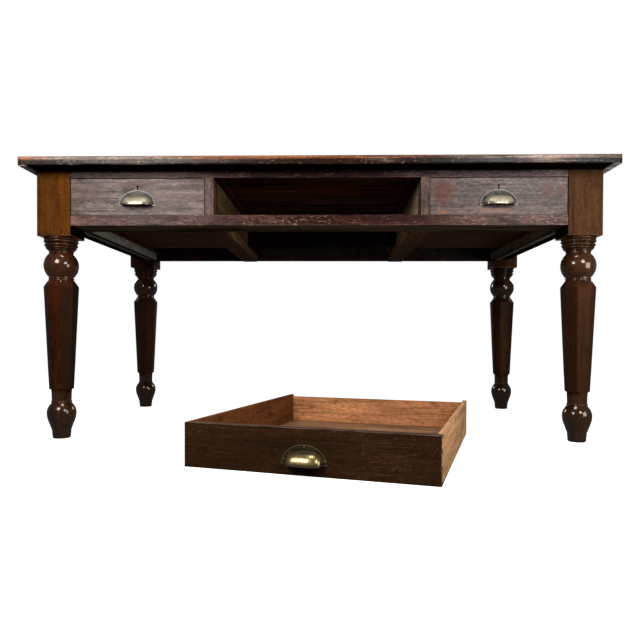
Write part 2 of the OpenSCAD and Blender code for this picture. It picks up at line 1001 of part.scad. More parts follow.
module pull_screws()
{
    head_r = pull_head_d / 2;
    dome_r = head_r * 1.25;
    color(brass_c)
        pull_screw_places()
        {
            rotate([90, 0, 0])
                translate([0, 0, -pull_bite])
                    cylinder(h = pull_bite + plate_t + 0.2, d = pull_shank_d, $fn = 32);
            translate([0, -plate_t, 0])
                intersection()
                {
                    translate([0, dome_r * 0.6, 0]) sphere(r = dome_r, $fn = 48);
                    rotate([90, 0, 0]) cylinder(h = head_r, r = head_r, $fn = 48);
                }
        }
}

module lock()
{
    color(iron_c)
        difference()
        {
            lock_body(0);
            translate([-bolt_w / 2 - bolt_fit, bolt_y - bolt_t / 2 - bolt_fit,
                       drawer_h - bolt_h - cut])
                cube([bolt_w + 2 * bolt_fit, bolt_t + 2 * bolt_fit, bolt_h + 2 * cut]);
            translate([0, front_t - lock_d, 0]) keyhole(key_depth);
            lock_screw_places() lock_screw(fit);
        }
}

module lock_bolt()
{
    color(brass_c)
        translate([-bolt_w / 2, bolt_y - bolt_t / 2, drawer_h - bolt_h])
            cube([bolt_w, bolt_t, bolt_h]);
}

module lock_screws()
{
    color(iron_c) lock_screw_places() lock_screw(0);
}

// Places of the parts in the group

module in_table()
{
    translate([0, group_y, 0]) children();
}

module in_opening(side)
{
    translate([side * side_drawer_x, group_y + face_y, drawer_z]) children();
}

module on_floor()
{
    translate([loose_x, group_y + loose_y, 0]) rotate([0, 0, loose_turn]) children();
}

in_table() top_board(0);  // top_board_front
in_table() top_board(1);  // top_board_middle
in_table() top_board(2);  // top_board_back
in_table() leg(-1, -1);  // leg_front_left
in_table() leg(1, -1);  // leg_front_right
in_table() leg(-1, 1);  // leg_back_left
in_table() leg(1, 1);  // leg_back_right
in_table() upper_front_rail();
in_table() lower_front_rail();
in_table() muntin(-1);  // muntin_left
in_table() muntin(1);  // muntin_right
in_table() side_apron(-1);  // side_apron_left
in_table() side_apron(1);  // side_apron_right
in_table() back_apron();
in_table() bearer(-1);  // bearer_left
in_table() bearer(1);  // bearer_right
in_table() runner(-1);  // runner_left
in_table() runner(1);  // runner_right
in_table() partition(-1);  // partition_left
in_table() partition(1);  // partition_right
in_table() guide(-1);  // guide_left
in_table() guide(1);  // guide_right
in_table() kicker(-1);  // kicker_left
in_table() kicker(1);  // kicker_right
in_table() outer_kicker(-1);  // outer_kicker_left
in_table() outer_kicker(1);  // outer_kicker_right
in_table() drawer_stops();
in_table() top_screws();
in_table() glue_blocks();

in_opening(-1) drawer_front(side_w, side_pull_z, true);  // left_drawer_front
in_opening(-1) drawer_side(side_w, -1);  // left_drawer_side_l
in_opening(-1) drawer_side(side_w, 1);  // left_drawer_side_r
in_opening(-1) drawer_back(side_w);  // left_drawer_back
in_opening(-1) drawer_bottom(side_w);  // left_drawer_bottom
in_opening(-1) translate([0, 0, side_pull_z]) pull();  // left_pull
in_opening(-1) translate([0, 0, side_pull_z]) pull_screws();  // left_pull_screws
in_opening(-1) lock();  // left_lock
in_opening(-1) lock_bolt();  // left_lock_bolt
in_opening(-1) lock_screws();  // left_lock_screws

on_floor() drawer_front(middle_w, middle_pull_z, false);  // middle_drawer_front
on_floor() drawer_side(middle_w, -1);  // middle_drawer_side_l
on_floor() drawer_side(middle_w, 1);  // middle_drawer_side_r
on_floor() drawer_back(middle_w);  // middle_drawer_back
on_floor() drawer_bottom(middle_w);  // middle_drawer_bottom
on_floor() translate([0, 0, middle_pull_z]) pull();  // middle_pull
on_floor() translate([0, 0, middle_pull_z]) pull_screws();  // middle_pull_screws

in_opening(1) drawer_front(side_w, side_pull_z, true);  // right_drawer_front
in_opening(1) drawer_side(side_w, -1);  // right_drawer_side_l
in_opening(1) drawer_side(side_w, 1);  // right_drawer_side_r
in_opening(1) drawer_back(side_w);  // right_drawer_back
in_opening(1) drawer_bottom(side_w);  // right_drawer_bottom
in_opening(1) translate([0, 0, side_pull_z]) pull();  // right_pull
in_opening(1) translate([0, 0, side_pull_z]) pull_screws();  // right_pull_screws
in_opening(1) lock();  // right_lock
in_opening(1) lock_bolt();  // right_lock_bolt
in_opening(1) lock_screws();  // right_lock_screws
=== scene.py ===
import math

import bpy
from mathutils import Matrix, Vector


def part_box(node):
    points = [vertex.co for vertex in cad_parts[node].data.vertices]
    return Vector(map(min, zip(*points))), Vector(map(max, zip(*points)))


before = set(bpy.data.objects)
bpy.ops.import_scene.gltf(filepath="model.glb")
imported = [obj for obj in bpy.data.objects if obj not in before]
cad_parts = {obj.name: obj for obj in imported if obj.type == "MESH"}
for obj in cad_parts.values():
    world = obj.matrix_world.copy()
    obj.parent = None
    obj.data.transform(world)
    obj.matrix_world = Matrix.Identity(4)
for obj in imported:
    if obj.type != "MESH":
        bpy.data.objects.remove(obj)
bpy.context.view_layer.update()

# Places that the rest is measured from, in metres, and the turn of the drawer on the floor
FRONT_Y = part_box("leg_front_left")[0].y
TOP_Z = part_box("top_board_front")[1].z
DRAWER_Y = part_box("left_drawer_front")[0].y
LOOSE_TURN = math.radians(-16.5)

# Camera, found by fitting the table's edges to the photograph, with its place in metres
IMAGE_PX = 640
CAMERA_X = 0.04785
CAMERA_OUT = 1.5447
CAMERA_Z = 0.28015
CAMERA_YAW = math.radians(-1.41)
CAMERA_PITCH = math.radians(-0.68)
CAMERA_ROLL = math.radians(0.18)
CAMERA_NEAR = 0.05
FOCAL_PX = 588.80
HORIZON_PX = 342.85
SENSOR_MM = 36.0


def make_camera():
    forward = Vector((
        math.sin(CAMERA_YAW) * math.cos(CAMERA_PITCH),
        math.cos(CAMERA_YAW) * math.cos(CAMERA_PITCH),
        math.sin(CAMERA_PITCH),
    ))
    level = Vector((math.cos(CAMERA_YAW), -math.sin(CAMERA_YAW), 0.0))
    upright = level.cross(forward)
    right = level * math.cos(CAMERA_ROLL) + upright * math.sin(CAMERA_ROLL)
    up = upright * math.cos(CAMERA_ROLL) - level * math.sin(CAMERA_ROLL)
    data = bpy.data.cameras.new("camera")
    data.sensor_width = SENSOR_MM
    data.lens = FOCAL_PX / IMAGE_PX * SENSOR_MM
    data.shift_y = (HORIZON_PX - IMAGE_PX / 2) / IMAGE_PX
    data.clip_start = CAMERA_NEAR
    camera = bpy.data.objects.new("camera", data)
    bpy.context.scene.collection.objects.link(camera)
    turn = Matrix((right, up, -forward)).transposed().to_4x4()
    camera.matrix_world = Matrix.Translation((CAMERA_X, FRONT_Y - CAMERA_OUT, CAMERA_Z)) @ turn
    bpy.context.scene.camera = camera


# Stage and light

# Floor: half its side in metres, its tone to the camera and to other rays, and its own glow, which
# rises to one between two distances from the table
FLOOR_HALF = 14.0
FLOOR_TONE = (0.62, 0.62, 0.62, 1.0)
BOUNCE_TONE = (0.05, 0.047, 0.044, 1.0)
NEAR_GLOW = 0.88
NEAR_RADIUS = 1.3
FAR_RADIUS = 2.4
# World: its colour, how much of it gloss shows, and the light that it gives everything else
BACKGROUND = (1.0, 1.0, 1.0, 1.0)
GLOSSY_SHARE = 0.14
FILL = 0.006
# Lamps, all aimed at this height above the middle of the table's front
LAMP_AIM_Z = 0.42
LAMPS = [
    # name, place relative to the middle of the table's front, size, power
    ("lamp_left", (-0.775, -1.097, 1.00), 0.50, 14.0),
    ("lamp_right", (0.905, -1.253, 1.04), 0.50, 11.5),
    ("lamp_low", (1.40, -0.80, 0.45), 0.60, 9.0),
    ("lamp_above", (-0.10, -0.60, 2.80), 0.75, 21.0),
    ("lamp_back_left", (-1.70, 2.50, 1.30), 0.80, 16.0),
    ("lamp_back_right", (1.70, 2.50, 1.30), 0.80, 16.0),
]


def background_share(tree, path):
    """One for camera rays, and less for rays off gloss or through glass."""
    seen = tree.nodes.new("ShaderNodeMath")
    seen.operation = "MAXIMUM"
    tree.links.new(path.outputs["Is Glossy Ray"], seen.inputs[0])
    tree.links.new(path.outputs["Is Transmission Ray"], seen.inputs[1])
    dimmed = tree.nodes.new("ShaderNodeMath")
    dimmed.operation = "MULTIPLY_ADD"
    dimmed.inputs[1].default_value = GLOSSY_SHARE
    tree.links.new(seen.outputs[0], dimmed.inputs[0])
    tree.links.new(path.outputs["Is Camera Ray"], dimmed.inputs[2])
    return dimmed.outputs[0]


def make_world():
    world = bpy.data.worlds.new("studio")
    bpy.context.scene.world = world
    world.use_nodes = True
    tree = world.node_tree
    tree.nodes.clear()
    out = tree.nodes.new("ShaderNodeOutputWorld")
    path = tree.nodes.new("ShaderNodeLightPath")
    strength = tree.nodes.new("ShaderNodeMath")
    strength.operation = "MAXIMUM"
    strength.inputs[1].default_value = FILL
    tree.links.new(background_share(tree, path), strength.inputs[0])
    light = tree.nodes.new("ShaderNodeBackground")
    light.inputs["Color"].default_value = BACKGROUND
    tree.links.new(strength.outputs[0], light.inputs["Strength"])
    tree.links.new(light.outputs[0], out.inputs["Surface"])


def floor_glow(tree, share):
    """Level of the floor's own light: a little less near the table, where its shadow shows."""
    coords = tree.nodes.new("ShaderNodeTexCoord")
    reach = tree.nodes.new("ShaderNodeVectorMath")
    reach.operation = "LENGTH"
    tree.links.new(coords.outputs["Object"], reach.inputs[0])
    level = tree.nodes.new("ShaderNodeMapRange")
    level.interpolation_type = "SMOOTHSTEP"
    level.inputs["From Min"].default_value = NEAR_RADIUS
    level.inputs["From Max"].default_value = FAR_RADIUS
    level.inputs["To Min"].default_value = NEAR_GLOW
    level.inputs["To Max"].default_value = 1.0
    tree.links.new(reach.outputs["Value"], level.inputs["Value"])
    glow = tree.nodes.new("ShaderNodeMath")
    glow.operation = "MULTIPLY"
    tree.links.new(share, glow.inputs[0])
    tree.links.new(level.outputs["Result"], glow.inputs[1])
    return glow.outputs[0]


def floor_material():
    """Pale floor that looks white to the camera and throws little light back at the table."""
    material = bpy.data.materials.new("pale_floor")
    material.use_nodes = True
    tree = material.node_tree
    tree.nodes.clear()
    out = tree.nodes.new("ShaderNodeOutputMaterial")
    path = tree.nodes.new("ShaderNodeLightPath")
    tone = tree.nodes.new("ShaderNodeMix")
    tone.data_type = "RGBA"
    tone.inputs["A"].default_value = BOUNCE_TONE
    tone.inputs["B"].default_value = FLOOR_TONE
    tree.links.new(path.outputs["Is Camera Ray"], tone.inputs["Factor"])
    matt = tree.nodes.new("ShaderNodeBsdfDiffuse")
    tree.links.new(tone.outputs["Result"], matt.inputs["Color"])
    glow = tree.nodes.new("ShaderNodeEmission")
    tree.links.new(floor_glow(tree, background_share(tree, path)), glow.inputs["Strength"])
    both = tree.nodes.new("ShaderNodeAddShader")
    tree.links.new(matt.outputs[0], both.inputs[0])
    tree.links.new(glow.outputs[0], both.inputs[1])
    tree.links.new(both.outputs[0], out.inputs["Surface"])
    return material


def make_floor():
    corners = [(-1, -1), (1, -1), (1, 1), (-1, 1)]
    mesh = bpy.data.meshes.new("floor")
    mesh.from_pydata([(x * FLOOR_HALF, y * FLOOR_HALF, 0.0) for x, y in corners], [], [(0, 1, 2, 3)])
    mesh.materials.append(floor_material())
    floor = bpy.data.objects.new("floor", mesh)
    bpy.context.scene.collection.objects.link(floor)


def make_lamps():
    aim = Vector((0.0, FRONT_Y, LAMP_AIM_Z))
    for name, place, size, power in LAMPS:
        data = bpy.data.lights.new(name, "AREA")
        data.shape = "SQUARE"
        data.size = size
        data.energy = power
        lamp = bpy.data.objects.new(name, data)
        bpy.context.scene.collection.objects.link(lamp)
        lamp.location = Vector((place[0], FRONT_Y + place[1], place[2]))
        lamp.rotation_euler = (aim - lamp.location).to_track_quat("-Z", "Y").to_euler()
        lamp.visible_camera = False


# Materials

# Patches: how ragged they are, and where their edge fades, in radii from the centre
SPOT_RAGGED = 1.6
SPOT_FADE = (1.9, 1.2)
# Arrises, gaps and faces: reach in metres, and the levels between which each fades. The painted shade
# in a gap also has how dark it is and how bright an open face is.
PROBE_SAMPLES = 6
RIM_RADIUS = 0.0022
RIM_FADE = (0.995, 0.90)
GAP_SHADE_REACH = 0.007
GAP_SHADE_FADE = (0.30, 0.80, 0.12, 1.0)
FACING_FADE = (0.55, 0.80)


class Shader:
    """Builds one node material."""

    def __init__(self, name):
        self.material = bpy.data.materials.new(name)
        self.material.use_nodes = True
        self.tree = self.material.node_tree
        self.tree.nodes.clear()
        self.surface = self.tree.nodes.new("ShaderNodeBsdfPrincipled")
        out = self.tree.nodes.new("ShaderNodeOutputMaterial")
        self.tree.links.new(self.surface.outputs[0], out.inputs["Surface"])
        coords = self.tree.nodes.new("ShaderNodeTexCoord")
        self.object_place = coords.outputs["Object"]

    def put(self, socket, value):
        if hasattr(value, "is_linked"):
            self.tree.links.new(value, socket)
        else:
            socket.default_value = value

    def put_surface(self, name, value):
        self.put(self.surface.inputs[name], value)

    def move(self, vector, turn=(0, 0, 0), shift=(0, 0, 0), scale=(1, 1, 1)):
        node = self.tree.nodes.new("ShaderNodeMapping")
        self.put(node.inputs["Vector"], vector)
        node.inputs["Rotation"].default_value = turn
        node.inputs["Location"].default_value = shift
        node.inputs["Scale"].default_value = scale
        return node.outputs["Vector"]

    def noise(self, vector, scale, detail=2.0, rough=0.5, warp=0.0, shift=(0, 0, 0)):
        node = self.tree.nodes.new("ShaderNodeTexNoise")
        node.inputs["Scale"].default_value = 1.0
        node.inputs["Detail"].default_value = detail
        node.inputs["Roughness"].default_value = rough
        node.inputs["Distortion"].default_value = warp
        self.put(node.inputs["Vector"], self.move(vector, scale=scale, shift=shift))
        return node.outputs["Fac"]

    def math(self, operation, first, second=0.0, third=0.0):
        node = self.tree.nodes.new("ShaderNodeMath")
        node.operation = operation
        self.put(node.inputs[0], first)
        self.put(node.inputs[1], second)
        self.put(node.inputs[2], third)
        return node.outputs[0]

    def times(self, *values):
        result = values[0]
        for value in values[1:]:
            result = self.math("MULTIPLY", result, value)
        return result

    def step(self, value, low, high, start=0.0, end=1.0):
        """Goes smoothly from start to end as value goes from low to high."""
        node = self.tree.nodes.new("ShaderNodeMapRange")
        node.interpolation_type = "SMOOTHSTEP"
        self.put(node.inputs["Value"], value)
        node.inputs["From Min"].default_value = low
        node.inputs["From Max"].default_value = high
        node.inputs["To Min"].default_value = start
        node.inputs["To Max"].default_value = end
        return node.outputs["Result"]

    def between(self, share, start, end):
        """Goes smoothly from start to end as share goes from none to one."""
        return self.step(share, 0.0, 1.0, start, end)

    def mix(self, share, first, second, blend="MIX"):
        node = self.tree.nodes.new("ShaderNodeMix")
        node.data_type = "RGBA"
        node.blend_type = blend
        self.put(node.inputs["Factor"], share)
        self.put(node.inputs["A"], rgba(first))
        self.put(node.inputs["B"], rgba(second))
        return node.outputs["Result"]

    def scale(self, colour, factor):
        node = self.tree.nodes.new("ShaderNodeVectorMath")
        node.operation = "SCALE"
        self.put(node.inputs[0], colour)
        self.put(node.inputs["Scale"], factor)
        return node.outputs[0]

    def darken(self, colour, share, amount):
        """Takes up to amount of a colour away, where share is one."""
        return self.scale(colour, self.math("MULTIPLY_ADD", share, -amount, 1.0))

    def tones(self, value, stops):
        node = self.tree.nodes.new("ShaderNodeValToRGB")
        ramp = node.color_ramp
        while len(ramp.elements) < len(stops):
            ramp.elements.new(0.5)
        for element, (place, tone) in zip(ramp.elements, stops):
            element.position = place
            element.color = rgba(tone)
        self.put(node.inputs["Fac"], value)
        return node.outputs["Color"]

    def axis(self, vector, name):
        node = self.tree.nodes.new("ShaderNodeSeparateXYZ")
        self.put(node.inputs[0], vector)
        return node.outputs[name]

    def spot(self, centre, radii, ragged):
        """One near a place on the piece, fading out at a ragged edge."""
        scaled = [1.0 / radius for radius in radii]
        shift = [-place * factor for place, factor in zip(centre, scaled)]
        near = self.move(self.object_place, scale=scaled, shift=shift)
        reach = self.tree.nodes.new("ShaderNodeVectorMath")
        reach.operation = "LENGTH"
        self.put(reach.inputs[0], near)
        edge = self.math("MULTIPLY_ADD", ragged, SPOT_RAGGED, reach.outputs["Value"])
        return self.step(edge, *SPOT_FADE)

    def edges(self):
        """One along the arrises of the mesh."""
        bevel = self.tree.nodes.new("ShaderNodeBevel")
        bevel.samples = PROBE_SAMPLES
        bevel.inputs["Radius"].default_value = RIM_RADIUS
        geometry = self.tree.nodes.new("ShaderNodeNewGeometry")
        dot = self.tree.nodes.new("ShaderNodeVectorMath")
        dot.operation = "DOT_PRODUCT"
        self.tree.links.new(bevel.outputs[0], dot.inputs[0])
        self.tree.links.new(geometry.outputs["Normal"], dot.inputs[1])
        return self.step(dot.outputs["Value"], *RIM_FADE)

    def painted_gap_shade(self):
        """Painted shade: one on open faces, and little in gaps and corners, where shade falls."""
        open_share = self.tree.nodes.new("ShaderNodeAmbientOcclusion")
        open_share.samples = PROBE_SAMPLES
        open_share.inputs["Distance"].default_value = GAP_SHADE_REACH
        return self.step(open_share.outputs["AO"], *GAP_SHADE_FADE)

    def facing(self, axis, sign):
        """One on faces that point along an axis, or against it."""
        geometry = self.tree.nodes.new("ShaderNodeNewGeometry")
        part = self.times(self.axis(geometry.outputs["True Normal"], axis), sign)
        return self.step(part, *FACING_FADE)

    def bump(self, height, relief, normal=None, share=1.0):
        """Raises the surface by a pattern. A relief is its depth in metres and its strength."""
        depth, strength = relief
        node = self.tree.nodes.new("ShaderNodeBump")
        node.inputs["Strength"].default_value = strength
        node.inputs["Distance"].default_value = depth * share
        self.put(node.inputs["Height"], height)
        if normal is not None:
            self.put(node.inputs["Normal"], normal)
        return node.outputs["Normal"]


def rgba(tone):
    if hasattr(tone, "is_linked") or len(tone) == 4:
        return tone
    return (*tone, 1.0)


def shade(tone, share):
    return tuple(channel * share for channel in tone)


# Wood

# How each kind looks: figure, worn patches, specks, scratches, arrises, grime and polish. A leg also
# has the heights between which it is turned: up to the first, and from the second to the fourth,
# with the top of its ball between them.
TOP_LOOK = dict(contrast=0.85, wear=0.60, wear_tone=(0.40, 0.28, 0.22), specks=0.45, speck_from=0.58,
                scratches=0.5, edge=0.35, rim=(0.46, 0.28, 0.19), dirt=0.55, gloss=0.32, specular=0.20,
                dents=1.6, cloud=1.0, sheen=(1.0, 0.94, 0.90))
LEG_LOOK = dict(contrast=0.40, wear=0.16, wear_tone=(0.20, 0.07, 0.028), specks=0.20, speck_from=0.60,
                scratches=0.25, edge=0.30, rim=(0.24, 0.09, 0.040), dirt=0.40, gloss=0.11, specular=0.62,
                dents=0.05, cloud=0.8, sheen=(1.0, 0.66, 0.40),
                turned=(0.120, 0.425, 0.497, 0.543))
RAIL_LOOK = dict(contrast=0.80, wear=0.45, wear_tone=(0.32, 0.17, 0.125), specks=0.85, speck_from=0.54,
                 scratches=0.5, edge=0.85, rim=(0.40, 0.24, 0.18), dirt=0.55, gloss=0.36, specular=0.15,
                 dents=2.0, cloud=0.8, sheen=(1.0, 0.90, 0.88))
UPPER_RAIL_LOOK = dict(RAIL_LOOK, wear=0.30, specks=0.25)
APRON_LOOK = dict(RAIL_LOOK, contrast=0.45, wear=0.10, specks=0.05, edge=0.25)
# The drawer fronts' rim tone is dark: painted shade along their arrises, for the shade in the gaps
# around them
FRONT_LOOK = dict(contrast=0.78, wear=0.40, wear_tone=(0.34, 0.21, 0.16), specks=0.45, speck_from=0.57,
                  scratches=0.5, edge=0.85, rim=(0.035, 0.016, 0.012), dirt=0.60, gloss=0.32,
                  specular=0.22, dents=2.2, cloud=0.8, sheen=(1.0, 0.93, 0.90))
LOOSE_LOOK = dict(contrast=0.42, wear=0.08, wear_tone=(0.20, 0.11, 0.06), specks=0.12, speck_from=0.60,
                  scratches=0.30, edge=1.0, rim=(0.52, 0.34, 0.27), dirt=0.30, gloss=0.50, specular=0.10,
                  dents=0.6, cloud=0.6, sheen=(1.0, 0.85, 0.65))
INSIDE_LOOK = dict(contrast=0.42, wear=0.12, wear_tone=(0.66, 0.36, 0.19), specks=0.25, speck_from=0.60,
                   scratches=0.2, edge=0.35, rim=(0.60, 0.36, 0.22), dirt=0.50, gloss=0.62,
                   specular=0.03, dents=0.5, cloud=0.35, sheen=(1.0, 0.9, 0.8))
BARE_LOOK = dict(contrast=0.45, wear=0.15, wear_tone=(0.34, 0.22, 0.14), specks=0.15, speck_from=0.60,
                 scratches=0.1, edge=0.25, rim=(0.40, 0.28, 0.18), dirt=0.45, gloss=0.68, specular=0.02,
                 dents=0.5, cloud=0.8, sheen=(1.0, 0.9, 0.8))

# Noise patterns, with their waves per metre along and across the grain
PATTERNS = {
    "figure": dict(scale=(1.8, 17, 17), detail=3, warp=0.7),
    "lines": dict(scale=(8, 240, 240), detail=3, rough=0.65),
    "streaks": dict(scale=(3, 75, 75), detail=2),
    "pores": dict(scale=(70, 1300, 1300), detail=1),
    "cloud": dict(scale=(3.5, 8, 8), detail=4, rough=0.65),
    "fleck": dict(scale=(90, 260, 260), detail=3, rough=0.7),
    "grime": dict(scale=(14, 40, 40), detail=5, rough=0.7, shift=(7, 3, 1)),
    "mottle": dict(scale=(85, 210, 210), detail=4, rough=0.75, shift=(3, 8, 2)),
    "dents": dict(scale=(26, 55, 55), detail=3, shift=(2, 5, 9)),
}
# How far a seed of one moves the patterns along each axis, in metres
SEED_STEPS = (3.17, 1.31, 0.73)
# Effects: the pattern that each follows, and the levels between which it fades in
EFFECTS = {
    "pores": ("pores", 0.60, 0.70),
    "patch_area": ("cloud", 0.52, 0.70),
    "patch_grain": ("lines", 0.40, 0.62),
    "speck_area": ("grime", 0.40, 0.60),
    "dots": ("fleck", 0.36, 0.28),
    "scratch_area": ("cloud", 0.44, 0.58),
    "mark_grain": ("lines", 0.30, 0.50),
    "rim_area": ("grime", 0.38, 0.60),
    "soot": ("grime", 0.46, 0.32),
}
# Figure and grain: the share of each pattern, and the tints at their darkest and palest levels
FIGURE_SHARE = 0.38
LINE_SHARE = 0.37
STREAK_SHARE = 0.25
NEUTRAL = 0.5
DARK_LEVEL = 0.40
DARK_TINT = (0.46, 0.52, 0.56)
PALE_LEVEL = 0.61
PALE_TINT = (0.50, 0.46, 0.40)
# Levels between which a pattern goes from dark to pale, and how far it darkens and brightens
CLOUD_SHADE = (0.32, 0.68, 0.22, 0.24)
MOTTLE_SHADE = (0.34, 0.66, 0.55, 0.60)
# How much pores, dots and soot darken the wood
PORE_DARK = 0.45
DOT_DARK = 0.60
SOOT_DARK = 0.80
# Specks fade in over this much of their pattern, and are paler than worn wood, as scratches are
SPECK_FADE = 0.10
PALE_WEAR = 1.3
# Scratches: degrees off the grain and waves per metre along each, then across them
SCRATCHES = ((4, 12), (-17, 22), (38, 30))
SCRATCH_WAVES = 420
SCRATCH_FADE = (0.75, 0.80)
# How far the border between two zones of tone wanders, in metres
BORDER_WANDER = 0.16
# Height over which a leg's turned lengths fade into its shaft and its block, in metres
TURN_FADE = 0.006
BLOCK_FADE = 0.004
# Gloss of a leg's flats, and of all above its ball, as shares. The flats are this much rougher.
FLAT_SHINE = 0.22
ABOVE_BALL_SHINE = 0.35
FLAT_ROUGH = 0.37
TURNED_SHEEN = (1.0, 0.88, 0.74)
# Roughness that the patterns add
CLOUD_ROUGH = 0.16
PATCH_ROUGH = 0.25
SOOT_ROUGH = 0.20
# Relief: depth in metres and strength, less deep on turned wood
DENT_RELIEF = (0.0010, 0.45)
FLECK_RELIEF = (0.0003, 0.50)
LINE_RELIEF = (0.00025, 0.60)
PORE_RELIEF = (0.00012, 0.80)
TURNED_LINE_RELIEF = (0.00006, 0.60)
TURNED_PORE_RELIEF = (0.00002, 0.80)


def grain_turn(grain, turn):
    """Rotation that lays the texture's first axis along the grain."""
    if grain == "Z":
        return (0.0, math.radians(90), 0.0)
    return (0.0, 0.0, -turn - (math.radians(90) if grain == "Y" else 0.0))


class Wood(Shader):
    """Old polished or bare wood: figure, fine lines, pores, wear, specks, scratches, grime, painted
    shade and light.
    """

    def __init__(self, name, grain, seed, look, turn):
        super().__init__(name)
        self.look = look
        self.grain = grain
        self.height = self.axis(self.object_place, "Z")
        shift = [seed * seed_step for seed_step in SEED_STEPS]
        self.place = self.move(self.object_place, turn=grain_turn(grain, turn), shift=shift)
        self.patterns = {}
        for pattern, settings in PATTERNS.items():
            self.patterns[pattern] = self.noise(self.place, **settings)
        self.tint = self.grain_tint()
        self.pores = self.effect("pores")
        self.patches = self.times(self.effect("patch_area"), self.effect("patch_grain"), look["wear"])
        self.soot = self.times(self.effect("soot"), look["dirt"])
        self.scratches = self.scratch_share()
        self.turned = self.turned_share() if "turned" in look else None

    def effect(self, name):
        pattern, low, high = EFFECTS[name]
        return self.step(self.patterns[pattern], low, high)

    def grain_tint(self):
        """Figure and grain as half-strength tints, which grained doubles again."""
        contrast = self.look["contrast"]
        mixed = self.times(self.patterns["streaks"], STREAK_SHARE)
        mixed = self.math("MULTIPLY_ADD", self.patterns["lines"], LINE_SHARE, mixed)
        mixed = self.math("MULTIPLY_ADD", self.patterns["figure"], FIGURE_SHARE, mixed)
        dark = [NEUTRAL - channel * contrast for channel in DARK_TINT]
        pale = [NEUTRAL + channel * contrast for channel in PALE_TINT]
        return self.tones(mixed, [(DARK_LEVEL, dark), (NEUTRAL, [NEUTRAL] * 3), (PALE_LEVEL, pale)])

    def grained(self, tone):
        """Lays figure and grain over a tone."""
        return self.scale(self.mix(1.0, tone, self.tint, "MULTIPLY"), 1.0 / NEUTRAL)

    def scratch_share(self):
        drawn = 0.0
        for angle, waves in SCRATCHES:
            turned = self.move(self.place, turn=(math.radians(angle),) * 3)
            scale = (waves, SCRATCH_WAVES, SCRATCH_WAVES)
            line = self.step(self.noise(turned, scale, detail=0, shift=(angle, 0, 0)), *SCRATCH_FADE)
            drawn = self.math("MAXIMUM", drawn, line)
        return self.times(drawn, self.effect("scratch_area"), self.look["scratches"])

    def turned_share(self):
        """One on a leg's turned lengths, and none on its eight-sided shaft and its block."""
        foot_top, neck_low, ball_top, block_low = self.look["turned"]
        foot = self.step(self.height, foot_top + TURN_FADE, foot_top)
        beads = self.times(self.step(self.height, neck_low - TURN_FADE, neck_low),
                           self.step(self.height, block_low + BLOCK_FADE, block_low))
        return self.math("MAXIMUM", foot, beads)

    def zone_tones(self, zones):
        """Tones that change along the grain, with a wandering border."""
        first = zones[0][0]
        length = zones[-1][0] - first
        straight = self.axis(self.object_place, self.grain)
        along = self.math("MULTIPLY_ADD", self.patterns["cloud"], BORDER_WANDER, straight)
        share = self.math("MULTIPLY_ADD", along, 1.0 / length, (-BORDER_WANDER / 2 - first) / length)
        return self.tones(share, [((place - first) / length, tone) for place, tone in zones])

    def shaded(self, colour, pattern, levels, share):
        """Darkens and brightens a colour by a pattern."""
        low, high, dark, pale = levels
        factor = self.step(self.patterns[pattern], low, high, 1.0 - dark * share, 1.0 + pale * share)
        return self.scale(colour, factor)

    def plain_colour(self, tone, painted_lift):
        """The wood before its wear, with painted shade and highlight by height where a painted lift is
        given.
        """
        colour = self.grained(tone)
        if painted_lift:
            colour = self.scale(colour, self.step(self.height, *painted_lift))
        colour = self.shaded(colour, "cloud", CLOUD_SHADE, self.look["cloud"])
        colour = self.shaded(colour, "mottle", MOTTLE_SHADE, self.look["contrast"])
        return self.darken(colour, self.pores, PORE_DARK)

    def worn_colour(self, colour, marks):
        """Patches worn thin, pale specks, dark dots, scratches, marks, bare arrises or painted shade on
        them, and soot.
        """
        look = self.look
        pale = shade(look["wear_tone"], PALE_WEAR)
        colour = self.mix(self.patches, colour, look["wear_tone"])
        speck = self.step(self.patterns["fleck"], look["speck_from"], look["speck_from"] + SPECK_FADE)
        speck = self.times(speck, self.effect("speck_area"), look["specks"])
        colour = self.mix(speck, colour, pale)
        colour = self.darken(colour, self.effect("dots"), DOT_DARK)
        colour = self.mix(self.scratches, colour, pale)
        for centre, radii, tone, share in marks:
            area = self.spot(centre, radii, self.patterns["grime"])
            colour = self.mix(self.times(area, self.effect("mark_grain"), share), colour, tone)
        # Arrises take the rim tone: pale worn wood, and on the drawer fronts a dark tone that is painted
        # shade
        rim = self.times(self.edges(), self.effect("rim_area"), look["edge"])
        colour = self.mix(rim, colour, look["rim"])
        return self.darken(colour, self.soot, SOOT_DARK)

    def polish(self):
        """Gloss, roughness and sheen. Turned lengths keep their polish, the flats are duller."""
        shine = self.look["specular"]
        rough = self.look["gloss"] - CLOUD_ROUGH / 2
        sheen = rgba(self.look["sheen"])
        if self.turned is None:
            return shine, rough, sheen
        ball_top = self.look["turned"][2]
        above = self.step(self.height, ball_top, ball_top + TURN_FADE, 1.0, ABOVE_BALL_SHINE)
        shine = self.times(self.between(self.turned, FLAT_SHINE * shine, shine), above)
        rough = self.between(self.turned, rough + FLAT_ROUGH, rough)
        sheen = self.mix(self.turned, sheen, TURNED_SHEEN)
        return shine, rough, sheen

    def own_faces(self, colour, shine, faces):
        """Gives faces, such as the undersides, a tone and polish of their own, or painted shade and
        light.
        """
        flat = 1.0 if self.turned is None else self.math("SUBTRACT", 1.0, self.turned)
        for axis, sign, tone, polish, part in faces:
            share = self.times(self.facing(axis, sign), flat)
            if part:
                along, begin, full = part
                share = self.times(share, self.step(self.axis(self.object_place, along), begin, full))
            colour = self.mix(share, colour, self.grained(tone))
            shine = self.times(shine, self.math("MULTIPLY_ADD", share, polish - 1.0, 1.0))
        return colour, shine

    def added_roughness(self, rough):
        rough = self.math("MULTIPLY_ADD", self.patches, PATCH_ROUGH, rough)
        rough = self.math("MULTIPLY_ADD", self.patterns["cloud"], CLOUD_ROUGH, rough)
        return self.math("MULTIPLY_ADD", self.soot, SOOT_ROUGH, rough)

